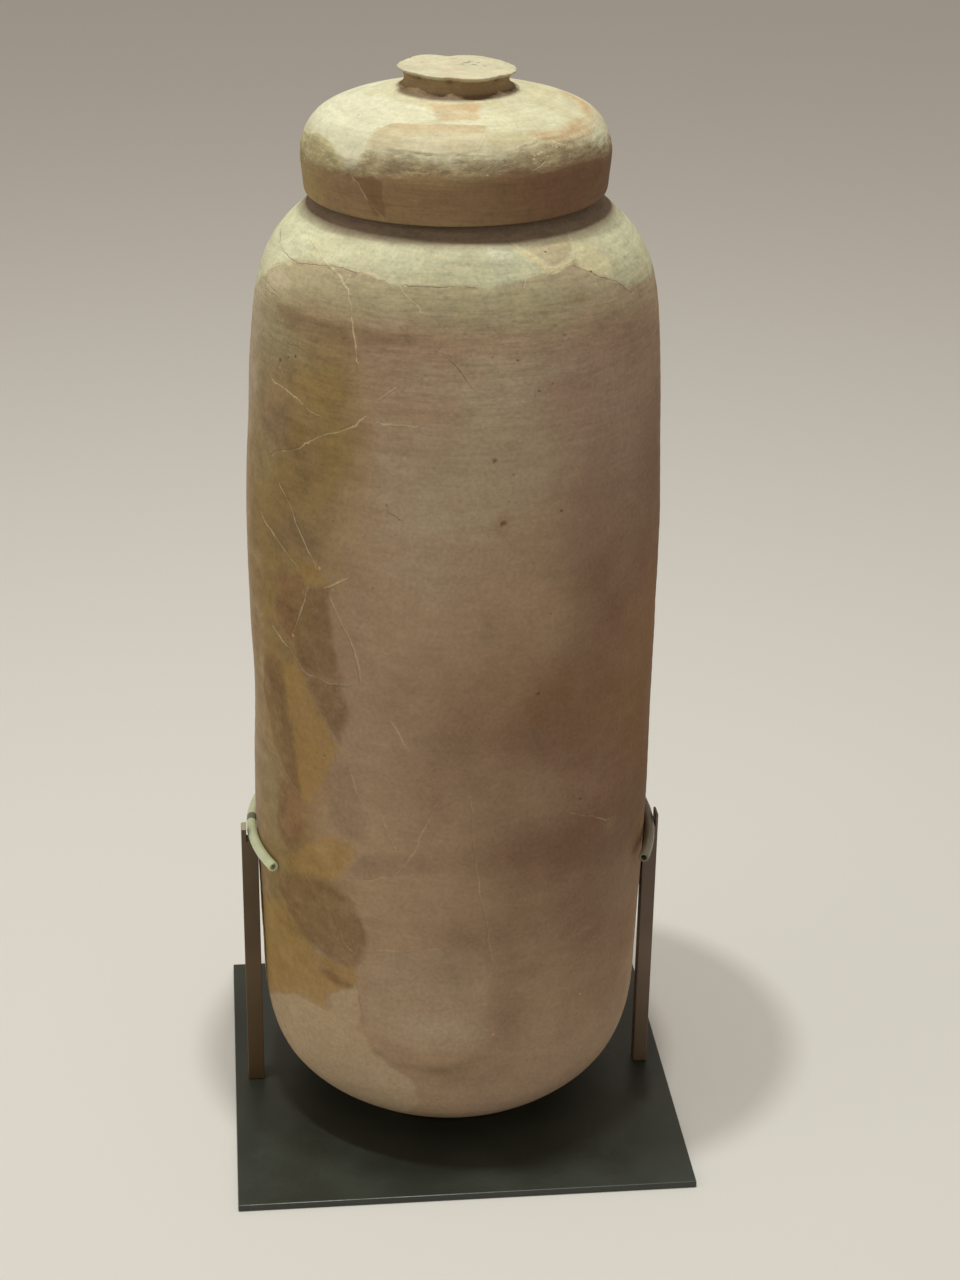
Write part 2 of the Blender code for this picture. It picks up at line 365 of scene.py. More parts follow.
# Joins between sherds with pale mortar in them
PALE_JOINS = [
    [(-82, 581.5), (-76, 588), (-70, 594.5), (-62, 601), (-57, 605)],
    [(-64, 613), (-57, 609), (-51, 604), (-44, 600), (-38, 595), (-36, 582), (-33.5, 566), (-32.5, 556)],
    [(-64, 529), (-52, 523), (-44, 518)], [(-25, 521), (-16, 522)], [(-38, 604), (-39, 614)],
    [(-38, 603), (-33, 603.4), (-28, 601.7), (-22.5, 599), (-19.5, 593), (-16, 587)],
    [(13, 620), (19, 612.3), (24, 605), (30, 607.6), (34, 608.4), (37, 613.4), (38, 618)],
    [(23, 605), (16, 603), (14, 598)],
    [(-30, 523), (-32, 517), (-40, 509), (-48, 500), (-64, 481)],
    [(-70, 441), (-62, 433), (-56, 425), (-52, 421)],
    [(-61, 469), (-55, 456), (-51, 446), (-48, 437), (-44, 425)],
    [(-47, 411), (-50, 392), (-53, 374)],
    [(-63, 369), (-55, 360), (-50, 350), (-41, 349), (-34, 353)],
    [(-39, 406), (-36, 390), (-33, 382), (-31, 367), (-31, 357)],
    [(-40, 413), (-34, 424)], [(-22, 333), (-18, 314)], [(-34, 291), (-31, 275), (-29, 266)],
    [(-24, 264), (-20, 244)], [(-82, 282), (-64, 278), (-52, 262)],
    [(-10, 278), (-13, 260), (-15, 244), (-18, 233), (-22, 223), (-30, 217), (-35, 215)],
    [(-40, 190), (-37, 168), (-34, 162)],
    [(-1, 284), (1, 258), (2, 229), (4, 203), (6, 185), (7, 165)],
    [(-28, 168), (-22.4, 169.4), (-16, 170.3), (-9.3, 174)],
    [(-26, 536), (-24, 540), (-21.5, 543.5)], [(31, 259), (44, 243)],
    [(96, 560), (112, 528), (130, 520), (151, 470), (149, 402)],
    [(151, 470), (172, 455), (196, 480), (214, 468), (232, 500)],
    [(120, 330), (138, 301), (160, 296), (171, 240), (168, 196)],
    [(232, 500), (240, 441), (246, 380), (262, 352)],
]
# Fine dark cracks and joins
DARK_JOINS = [
    [(-88, 605), (-76, 601), (-62, 600), (-49, 602), (-38, 602.5)],
    [(-20, 599), (-12, 600.5), (-7, 600.8)], [(-80, 581), (-67, 580)], [(-76, 574), (-64, 573)],
    [(-62, 557), (-51, 555)], [(-47, 558), (-44, 554)], [(-21.5, 468), (-19.5, 465.5)],
    [(-9, 568), (-4, 553), (-1, 543)], [(-1.5, 600), (2, 600)], [(-33, 140), (-31, 113)],
    [(33, 605.6), (39.5, 600), (48, 593), (53.5, 585)],
    [(-45, 138.7), (-41.3, 136.5), (-36, 132.3)], [(168, 196), (176, 140), (173, 90)],
]
# Joins filled wide with cream mortar: two on the left shoulder, and the V under the lid
FILLED = [
    [(-82, 582.5), (-76, 589), (-70, 595.5), (-62, 602), (-61.5, 600), (-70, 593.5), (-76, 587),
     (-81.5, 580.5)],
    [(-57, 610), (-51, 605), (-44, 601), (-38, 596.5), (-37, 595), (-44, 599.5), (-51, 603.5),
     (-57, 608.5)],
    [(12, 620), (15, 619.6), (20.5, 612.8), (24.6, 606.8), (30, 608.8), (34.3, 609.6), (35, 607.6),
     (27, 605), (24, 603.6), (22.4, 604.6), (18, 611.6)],
]
# Small dark stones and holes: turn, height, radius in mm
JAR_SPOTS = [
    (-61, 543, 1.6), (-57, 547, 1.0), (-54, 549, 1.4), (25, 614, 0.8), (39, 601, 1.0), (11, 560, 0.9),
    (17, 541, 1.0), (5, 502, 1.9), (7.5, 463, 2.2), (-53.7, 372, 0.6), (-43, 297, 1.0), (24, 466, 1.2),
    (-67, 68, 1.3), (18, 350, 1.6), (33, 268, 1.5), (104, 500, 1.6), (143, 441, 2.0), (171, 380, 1.3),
    (215, 300, 1.7), (250, 470, 1.4), (190, 160, 1.6), (127, 210, 1.2),
]
# Pale grains, in the same way
PALE_SPECKS = [
    (36.7, 118.5, 0.9), (7.6, 106.5, 0.9), (-68.5, 67, 1.3), (-71, 371, 0.8), (-53.7, 372, 1.4),
    (-43, 424, 1.2),
]
# Lower edge of the cream shoulder, all round
CREAM_EDGE = [
    (-180, 596), (-150, 606), (-118, 588), (-93, 566), (-82, 581), (-70, 594.5), (-62, 601), (-46, 603),
    (-35, 603.2), (-29, 601.5), (-23.5, 599.3), (-16.5, 600.3), (13, 601.3), (24, 605), (34, 608),
    (40, 600), (48, 593), (54, 587), (71, 583), (100, 590), (140, 584),
]
# Sherds and fills of other colours than the clay round them, as closed shapes
SHERDS = {
    "ochre": [
        [(-59, 348), (-53, 354), (-44, 328), (-38, 309), (-42, 285), (-49, 257), (-53, 265), (-55, 300),
         (-58, 332)],
        [(-52, 422), (-43, 426), (-40, 414), (-48, 409)],
        [(-62, 204.5), (-52, 224), (-41.5, 245), (-33.5, 243), (-32.5, 234), (-37, 217.5), (-44.5, 208.5),
         (-56, 202.5)],
        [(-84, 150), (-65, 171), (-56, 162), (-46, 150), (-33, 149), (-34, 134), (-43, 124), (-46, 107),
         (-54, 109), (-59, 106.5), (-68.5, 95), (-76, 85), (-88, 78), (-90, 110)],
        [(149, 402), (160, 420), (178, 372), (162, 350)],
    ],
    "umber": [
        [(-47, 410), (-40, 413), (-39, 385), (-36, 353), (-44, 350), (-51, 353), (-53, 364), (-50, 390)],
        [(-49, 348), (-37, 351), (-34.5, 331), (-37.5, 308), (-41.5, 321), (-46, 334)],
        [(-71, 342), (-60, 349), (-57, 311), (-54, 283), (-52, 262), (-58, 268), (-66, 285), (-73, 318)],
        [(-64, 192), (-52, 204), (-40, 206), (-34, 201), (-29, 180), (-30, 162), (-34, 150), (-42, 152),
         (-54, 161), (-63, 177)],
        [(-46, 140.5), (-41.5, 139.5), (-35, 134.5), (-35.5, 130.5), (-41, 132.5), (-45.5, 136)],
        [(196, 480), (214, 468), (222, 420), (205, 404), (190, 431)],
    ],
    "rust": [
        [(-62, 407), (-57, 415), (-50, 415), (-49, 408), (-51, 376), (-55, 366), (-61, 374)],
        [(-62, 269), (-53, 260), (-50, 236), (-59, 217), (-64, 226)],
        [(138, 301), (160, 296), (166, 262), (146, 250)],
    ],
    "mauve": [
        [(-43, 283), (-36, 297), (-32, 283), (-29, 264), (-30, 247), (-34, 243), (-41, 250)],
        [(-34, 222), (-31, 233), (-22, 240), (-12, 243), (4, 246), (5, 234), (-7, 231), (-19, 228),
         (-29, 220)],
        [(-72, 516), (-58, 522), (-55, 510), (-56, 495), (-61, 482), (-67, 484), (-73, 498)],
    ],
    # large sherds that are only a little paler than their neighbours
    "faint": [
        [(-28, 526), (-6, 525), (5, 522), (10, 499), (8, 477), (5, 465), (-3, 461), (-13, 456), (-24, 470)],
        [(21, 461), (27, 476), (34, 500), (20, 540), (8, 552), (12, 500), (10, 470)],
        [(-28, 166), (0, 177), (6, 160), (6, 100), (-12, 92), (-30, 104)],
        [(100, 540), (128, 520), (148, 470), (140, 400), (108, 420)],
        [(200, 380), (238, 440), (258, 352), (230, 280), (206, 310)],
    ],
    "blush": [[(15.5, 619), (37, 618), (35.5, 613), (33.5, 610), (25, 607)]],
    "plaster": [
        [(37, 618), (44, 612), (48.5, 603), (45, 596.5), (38, 601), (33.5, 606), (36, 612)],
        [(-92, 76), (-80, 78), (-76, 84), (-68.5, 94), (-59, 106), (-54, 108), (-43.5, 106),
         (-36.5, 103.5), (-31, 99), (-28, 86), (-16, 70), (-14, 50), (-22, 22), (-92, 22)],
        [(-43, 123), (-33, 134), (-32, 120), (-33, 103.5), (-42, 107)],
        [(110, 170), (131, 176), (140, 132), (118, 118)],
    ],
    "chalk": [[(4.5, 617), (8.7, 618.4), (14.5, 612), (12, 608), (7.5, 610.8)]],
}
# Soft clouds on the clay, the shaded ones and some dull ones painted shade and light: turn, height,
# half-width, half-height, strength
CLOUDS = {
    "pale": [
        (-66, 586, 18, 8, 0.8), (-46, 534, 16, 14, 0.4), (-72, 345, 12, 70, 0.5), (-76, 175, 12, 30, 0.5),
        (6, 556, 30, 24, 0.7), (-10, 480, 46, 60, 0.8), (12, 510, 36, 46, 0.7), (-14, 400, 34, 30, 0.4),
        (-86, 545, 32, 45, 1.1), (-94, 470, 32, 120, 0.8), (-98, 300, 38, 90, 1.1),
        (-128, 420, 60, 70, 0.4), (-10, 114, 28, 13, 0.8), (-27, 68, 22, 11, 0.8), (46, 240, 10, 16, 0.3),
        (160, 560, 50, 20, 0.4), (140, 100, 50, 30, 0.4),
    ],
    "dark": [
        (-58, 571, 34, 8, 0.8), (-30, 571, 30, 8, 0.7), (-8, 574, 26, 9, 0.6), (46, 578, 34, 12, 0.5),
        (-48, 556, 16, 8, 0.4), (-66, 500, 20, 14, 0.5), (-52, 486, 24, 16, 0.6), (-44, 553, 22, 20, 0.35),
        (-25, 290, 30, 30, 0.25), (-34, 510, 10, 26, 0.35), (7.5, 463, 5, 6, 0.9), (-31, 174, 24, 24, 0.3),
        (-40, 465, 16, 22, 0.5), (-47, 442, 20, 14, 0.5), (-57, 440, 20, 12, 0.5), (18, 336, 16, 22, 0.5),
        (31, 411, 7, 9, 0.4), (-6, 320, 20, 26, 0.3), (-26, 87, 9, 4, 0.8), (-18, 80.5, 11, 4, 0.9),
        (-8, 79, 12, 4.5, 0.85), (-1, 84, 9, 5, 0.5), (4, 89, 9, 5, 0.6), (120, 420, 70, 60, 0.4),
        (200, 200, 60, 60, 0.4), (250, 540, 60, 30, 0.5),
    ],
    # a little darker than their neighbours, whatever the paint on them; below 0 lighter. Some are painted
    # shade, on the far right low down, and painted light, along the lower edge of the lid's shadow
    "dull": [
        (7, 611, 20, 8, 0.4), (16, 606, 70, 20, 0.32), (-28, 610, 24, 14, 0.2), (-22, 591, 34, 12, 0.35),
        (-76, 590, 16, 16, -0.35), (52, 592, 34, 20, 0.15), (-64, 588, 20, 14, -0.3),
        (8, 603, 20, 6, 0.35), (-6, 612, 22, 6, 0.25), (56, 590, 26, 9, 0.4), (60, 600, 20, 8, 0.25),
        (-40, 612, 40, 6, -0.2), (9, 618.5, 60, 3, -0.3), (-44, 535, 24, 20, -0.6),
        (-34, 484, 16, 22, -0.35), (-66, 503, 16, 22, -0.35), (-56, 395, 14, 24, 0.25),
        (-46, 385, 14, 60, 0.15), (65, 240, 22, 44, 0.6), (-59, 162, 12, 10, 0.2),
        (-72, 178, 12, 14, -0.3), (-77, 108, 12, 18, -0.3), (22, 126, 30, 24, 0.25),
        (-68, 586, 24, 10, -0.6), (-52, 594, 16, 6, -0.25), (-70, 345, 14, 90, -0.35),
        (-76, 150, 14, 60, -0.35), (-62, 96, 12, 8, -0.4), (-58, 162, 12, 12, 0.35),
        (-42, 148, 12, 10, 0.35), (-48, 355, 10, 30, 0.2), (-41, 324, 8, 12, 0.25), (70, 262, 24, 50, 0.5),
        (62, 320, 20, 30, 0.25), (40, 535, 50, 30, -0.15),
    ],
    "warm": [
        (-60, 470, 58, 85, 1.0), (-66, 340, 46, 90, 0.9), (-58, 210, 50, 60, 0.8), (-72, 130, 50, 60, 0.9),
        (-45, 550, 28, 26, 0.55), (-38, 520, 18, 34, 0.5), (-84, 560, 26, 40, 0.3), (60, 370, 46, 80, 0.2),
        (160, 330, 90, 120, 0.6), (230, 180, 60, 80, 0.5),
    ],
    "shaded": [
        (66, 330, 58, 120, 0.8), (64, 480, 40, 70, 0.7), (54, 560, 34, 24, 0.4), (37, 404, 36, 66, 0.62),
        (34, 480, 30, 36, 0.3), (34, 330, 32, 48, 0.4), (20, 330, 26, 34, 0.45), (0, 320, 50, 60, 0.5),
        (46, 234, 58, 22, 0.75), (14, 244, 40, 20, 0.35), (76, 300, 22, 130, 0.9), (30, 284, 46, 30, 0.22),
        (56, 282, 40, 40, 0.3), (54, 168, 44, 40, 0.35), (4, 200, 120, 110, 0.18), (38, 190, 60, 60, 0.5),
        (6, 180, 40, 46, 0.3), (52, 105, 50, 36, 0.4), (12, 112, 16, 20, 0.35), (-2, 76, 44, 16, 0.45),
        (120, 250, 60, 120, 0.5),
    ],
    "ruddy": [
        (60, 335, 56, 90, 0.55), (72, 280, 28, 130, 0.9), (58, 130, 24, 40, 0.3), (-50, 280, 26, 110, 0.5),
        (24, 352, 40, 46, 0.3), (-4, 366, 44, 36, 0.25), (-72, 350, 20, 56, 0.5), (-76, 175, 16, 34, 0.4),
        (140, 300, 60, 90, 0.4),
    ],
    "plum": [(46, 500, 60, 66, 0.55), (30, 545, 56, 34, 0.4), (52, 190, 40, 30, 0.3)],
    "olive": [
        (-66, 586, 16, 8, 0.6), (-76, 574, 40, 22, 1.0), (-36, 592, 66, 14, 0.9), (20, 590, 56, 18, 1.0),
        (-56, 556, 44, 16, 0.5), (-70, 505, 26, 60, 0.5), (-66, 245, 30, 60, 0.4), (150, 560, 80, 24, 0.5),
    ],
}


def make_jar():
    """The jar: thrown, marked with its joins, sherds and stains, and worn."""
    body = curve_through(BODY, BODY_STEP)
    inner = inset(curve_through(BODY, BODY_INNER_STEP), BODY_WALL)[::-1]
    outside = [*FOOT_RING, *body, *NECK]
    outline = [*outside, *MOUTH_EDGE, NECK_INSIDE, *inner, JAR_FLOOR]
    piece = turned("jar_clay", outline, JAR_MIDDLE)
    skin = Skin(piece, outline, JAR_MIDDLE, (0, len(outside)))
    outer = 1 - step_up((skin.along - skin.marks[len(outside) + 1]) / MM, 6)

    near_pale = skin.joins("join", map(skin.on_wall, PALE_JOINS))
    near_dark = skin.joins("hair", map(skin.on_wall, DARK_JOINS))
    ragged = skin.noise(14) * 1.2 + skin.noise(5, seed=7.0) * 0.5
    fields = {name: skin.patch(map(skin.on_wall, shapes)) + ragged for name, shapes in SHERDS.items()}
    fields["cream"] = skin.above(skin.on_wall(CREAM_EDGE)) + ragged
    fields["filled"] = skin.patch(map(skin.on_wall, FILLED)) + ragged * 0.2
    clouds = {name: skin.clouds(places) for name, places in CLOUDS.items()}
    clouds["tone"] = clouds.pop("pale") - clouds.pop("dark")
    for name, values in (fields | clouds).items():
        skin.keep(name, values)
    height = skin.height / MM
    skin.keep("high", step_up(height - 520, 210))  # the shoulder, brushed and lively
    skin.keep("crisp", 0.4 + 0.6 * step_up(height - 330, 120))  # the joins are fainter lower down
    skin.keep("lid_shadow", step_up(height - 618.5, 3.0))  # painted shadow on the shoulder under the lid's rim

    # in mm: dents left by the hand, throwing ridges, fills and sherds that stand proud or low, sunk joins
    relief = 0.5 * step_up(fields["filled"], 1.5)
    relief += skin.noise(85, 1.6, 3.0) * 0.55 + skin.noise(28, 2.5, 5.0) * 0.16
    ridges = np.sin(skin.along / MM * 0.55 + skin.noise(90) * 2.0)
    relief += ridges * 0.05 * (1 + skin.noise(60, seed=2.0))
    raised = {"ochre": -0.3, "umber": 0.28, "rust": 0.15, "mauve": 0.25, "plaster": -0.2}
    for name, proud in raised.items():
        relief += proud * step_up(fields[name], 3.0)
    relief += 0.25 * step_up(fields["cream"], 4.0)
    relief -= 0.12 * np.exp(-((near_pale / 2.6) ** 2)) + 0.12 * np.exp(-((near_dark / 2.4) ** 2))
    above_foot = skin.height - FOOT
    skin.push(relief * outer * np.clip(above_foot / FOOT_EASE, 0, 1))
    rise = np.clip((above_foot - SLOPE_START) / SLOPE_EASE, 0, 1)
    skin.spots[:, 2] += LID_SLOPE * rise * (skin.spots[:, 0] - JAR_MIDDLE.x)
    skin.spots[:, 0] += np.interp(above_foot, *zip(*WANDER))
    skin.write()
    piece.data.shade_smooth()
    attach(piece, "root")
    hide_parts("jar")
    return piece


def jar_place(turn, height):
    """A point on the jar's wall, from degrees round and mm above the ground."""
    heights, radii = zip(*BODY)
    radius = np.interp(height * MM - FOOT, heights, radii)
    wander = np.interp(height * MM - FOOT, *zip(*WANDER))
    angle = math.radians(turn)
    return Vector((wander + radius * math.sin(angle), JAR_MIDDLE.y - radius * math.cos(angle), height * MM))


# ---- the lid

# On the dome, (turn, radius); on the wall, (turn, height)
SHERD_TOP = 67.0
DOME_SHERDS = [
    [(-42, 77), (-38, 70), (-21, 66.5), (-6, 66.5), (9, 69.5), (7, 78), (4, 86), (-19, 87.3), (-30, 87.3),
     (-40.5, 86.5)],
]
DOME_PINK = [
    [(26, 78), (34, 77.5), (45, 78.5), (58, 78), (70, 76.5), (84, 72), (98, 64), (112, 68), (98, 74),
     (80, 80), (66, 85), (58, 88), (50, 88.5), (39, 88), (31, 83)],
    [(-31, 38), (13, 38), (10, 50), (7, 62), (-15, 62.5), (-20, 50)],
    [(140, 60), (168, 48), (190, 62), (171, 80)],
]
DOME_TAN = [
    [(9, 75), (19, 76), (26, 78), (34, 81), (44, 86), (39, 89), (29, 87), (20, 87), (11, 88.5), (5, 88.5),
     (7, 82)],
]
DOME_WHITE = [
    [(-106, 60), (-80, 50), (-52, 47), (-34, 44), (-20, 50), (-16, 60), (-24, 65), (-37, 70), (-43, 76.5),
     (-41, 86.5), (-42, 90), (-44.5, 92.8), (-47, 92.8), (-51, 92.2), (-55.5, 91.2), (-60, 89.6),
     (-65.5, 88.2), (-72.5, 87.5), (-80, 88.2), (-104, 80)],
    [(200, 50), (240, 48), (250, 78), (212, 82)],
]
LID_FILLER = [
    [(-96, 662), (-88, 666), (-80, 668.7), (-72.5, 669.9), (-65.5, 668.6), (-60, 665.6), (-55.5, 662.4),
     (-51, 657.8), (-48.5, 653.7), (-65, 653), (-96, 654)],
]
DOME_CRACKS = [
    [(24, 77.5), (29, 82), (34, 85.2), (39, 88)], [(8, 74), (5, 81), (3, 87)],
    [(60, 60), (74, 78), (80, 90)], [(120, 50), (131, 72), (128, 90)], [(200, 45), (186, 70), (190, 90)],
]
WALL_CRACKS = [
    [(-44, 653), (-41.5, 651), (-40, 647), (-37.5, 641), (-35, 635.5), (-32.5, 630)],
    [(29, 664), (25, 661), (22, 659.5)], [(128, 657), (122, 632)], [(190, 657), (198, 632)],
]
WALL_DARK = [
    [(-44, 653.5), (-41.5, 650.5), (-38, 642.5), (-35.5, 632), (-31, 629), (-32, 642.5), (-32, 655),
     (-36, 656.5)],
]
# Upper edge of the worn band, and of the brown wall below it, all round
WORN_BAND = [
    (-180, 670), (-140, 666), (-92, 664), (-79, 668), (-71, 670), (-61, 667), (-52, 662.5), (-48, 661),
    (-44.5, 662), (-42, 666.5), (-40.5, 669.5), (-30, 670.1), (-6, 670.1), (4, 670.3), (11, 671.0),
    (20, 673), (30, 674.5), (40, 673.5), (52, 671), (70, 667), (90, 665), (120, 670),
]
WALL_TOP = [
    (-180, 657), (-120, 655), (-75, 652), (-55, 653), (-42, 655), (-30, 657.5), (-18, 659), (20, 660),
    (40, 660), (66, 657.5), (90, 656), (130, 657),
]
# Dark grains on the knob's top: millimetres right and back of its middle, radius
KNOB_SPECKS = [
    (7, 14, 3.0), (11, 8, 2.2), (4, 9, 1.6), (14, 13, 1.5), (17, 4, 1.2), (9, 18, 1.6), (-20, 10, 1.0),
]


def chipped(angle):
    """Change of the knob's radius in a direction, in degrees from +X."""
    change = np.zeros(len(angle))
    for middle, depth, width in KNOB_CHIPS:
        away = half_turn(angle - middle)
        change += depth * np.exp(-((away / width) ** 2))
    return change


def nibbled(angle, pace, seed):
    """Small bites round an edge, from about -1 to 1; the pace sets how many."""
    places = [Vector((math.cos(a) * pace, math.sin(a) * pace, seed)) for a in np.radians(angle)]
    return np.array([noise.noise(place) for place in places])


def knob_place(across, back):
    """A point on the knob's top, from mm to the right and mm to the back of its middle."""
    x, y = across * MM, back * MM
    top = FOOT + KNOB_FACE[-1][0] + (LID_SLOPE + KNOB_SLOPE) * x + KNOB_TILT * y
    return Vector((LID_MIDDLE.x + x, LID_MIDDLE.y + y, top))


def make_lid():
    """The lid, with its stem and its worn knob."""
    profile = [*LID_WALL, *LID_DOME]
    shell = curve_through(profile, LID_STEP)
    inner = inset(curve_through(profile, LID_INNER_STEP), LID_THICKNESS)[::-1]
    inside = [LID_CEILING, *inner, *LID_LIP]
    outline = [*inside, *shell, *KNOB_STEM, *KNOB_EDGE, *KNOB_FACE]
    piece = turned("lid_clay", outline, LID_MIDDLE)
    first, stem = len(inside), len(inside) + len(shell)
    skin = Skin(piece, outline, LID_MIDDLE, (first, stem))
    outer = step_up((skin.along - skin.marks[first]) / MM, 4)
    from_stem = skin.along - skin.marks[stem]
    past_stem = skin.along - skin.marks[stem + len(KNOB_STEM)]
    knob = step_up(from_stem / MM, 5)

    near = skin.joins("join", [*map(skin.on_dome, DOME_CRACKS), *map(skin.on_wall, WALL_CRACKS)])
    ragged = skin.noise(12) * 0.9 + skin.noise(4, seed=7.0) * 0.5
    fields = {}
    for name, shapes, unrolled, wear in (
        ("sherd", DOME_SHERDS, skin.on_dome, 0.6),
        ("pink", DOME_PINK, skin.on_dome, 1.0),
        ("tan", DOME_TAN, skin.on_dome, 1.0),
        ("white", DOME_WHITE, skin.on_dome, 1.0),
        ("filler", LID_FILLER, skin.on_wall, 0.6),
        ("stain", WALL_DARK, skin.on_wall, 1.0),
    ):
        fields[name] = skin.patch(map(unrolled, shapes)) + ragged * wear
    fields["band"] = ragged * 1.2 - skin.above(skin.on_wall(WORN_BAND))
    fields["wall"] = ragged * 0.6 - skin.above(skin.on_wall(WALL_TOP))
    for name, values in fields.items():
        skin.keep(name, values)
    skin.keep("knob", knob)
    # the stem, painted darker as shade under the knob's disc
    skin.keep("stem", step_up(from_stem / MM, 2) * (1 - step_up(past_stem / MM, 1.5)))
    # the wall's shaded right and yellow left, the shade at the stem's foot, the way down the dome
    skin.keep("east", step_up(skin.turn - 8, 60) * step_up(135 - skin.turn, 60))
    skin.keep("west", step_up(-62 - skin.turn, 26) * step_up(skin.turn + 120, 30))
    front = 0.3 + 0.7 * step_up(78 - np.abs(skin.turn), 24)
    skin.keep("root", front * (1 - np.abs(from_stem / MM + 0.6) / 4.8))
    skin.keep("drop", (skin.on_dome([(0, SHERD_TOP)])[0][1] - skin.along) / MM)

    # in mm: dents, the torn worn band, the sherd and the filler, sunk cracks, ribs on the pink clay
    relief = skin.noise(50, 1.4, 3.0) * 0.35 + skin.noise(16, 2.0, 5.0) * 0.12
    rough = step_up(fields["band"], 2) * (1 - step_up(fields["wall"], 4))
    torn = skin.noise(4.2, 2.4, 9.0) * 0.2 + skin.noise(2.2, 1.8, 11.0) * 0.24
    relief += rough * (torn - 0.35)
    relief += 0.45 * step_up(fields["sherd"], 1.6) + 0.2 * step_up(fields["filler"], 2.5)
    relief += 0.2 * step_up(fields["wall"], 5.0)
    relief -= 0.12 * np.exp(-((near / 1.2) ** 2))
    relief += np.sin(skin.along / MM * 1.3) * step_up(fields["pink"], 4) * 0.05
    skin.push(relief * outer * (1 - knob) + skin.noise(7, 1.0, 4.0) * 0.09 * knob)

    # the knob's worn edge, then the lean of the whole lid
    across = skin.spots[:, :2] - np.array(LID_MIDDLE)[:2]
    angle = np.degrees(np.arctan2(across[:, 1], across[:, 0])) % 360
    edge = np.clip((skin.height - FOOT - KNOB_EDGE_START) / KNOB_EDGE_EASE, 0, 1)
    edge *= np.clip((skin.radius - KNOB_WHOLE) / KNOB_CHIP_EASE, 0, 1)
    change = chipped(angle) + nibbled(angle, 9, 0.3) * 0.0008 + nibbled(angle, 22, 4.3) * 0.0006 - 0.0003
    skin.spots[:, :2] += across * (edge * change / np.maximum(skin.radius, 0.005))[:, None]
    x, y = (skin.spots[:, :2] - np.array(LID_MIDDLE)[:2]).T
    lean = np.clip((skin.spots[:, 2] - FOOT - KNOB_START) / KNOB_EASE, 0, 1)
    skin.spots[:, 2] += LID_SLOPE * x + (KNOB_SLOPE * x + KNOB_TILT * y) * lean
    skin.write()
    piece.data.shade_smooth()
    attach(piece, "root")
    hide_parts("lid")
    return piece


# ---- materials


class Value:
    """A number in a material: arithmetic on it adds Math nodes."""

    def __init__(self, finish, socket):
        self.finish, self.socket = finish, socket

    def calc(self, operation, *others):
        values = dict(enumerate((self, *others)))
        node = self.finish.add("ShaderNodeMath", {"operation": operation}, values)
        return Value(self.finish, node.outputs[0])

    def __add__(self, other):
        return self.calc("ADD", other)

    def __sub__(self, other):
        return self.calc("SUBTRACT", other)

    def __mul__(self, other):
        return self.calc("MULTIPLY", other)

    def __rsub__(self, other):
        return self.calc("MULTIPLY_ADD", -1.0, other)

    __radd__ = __add__
    __rmul__ = __mul__


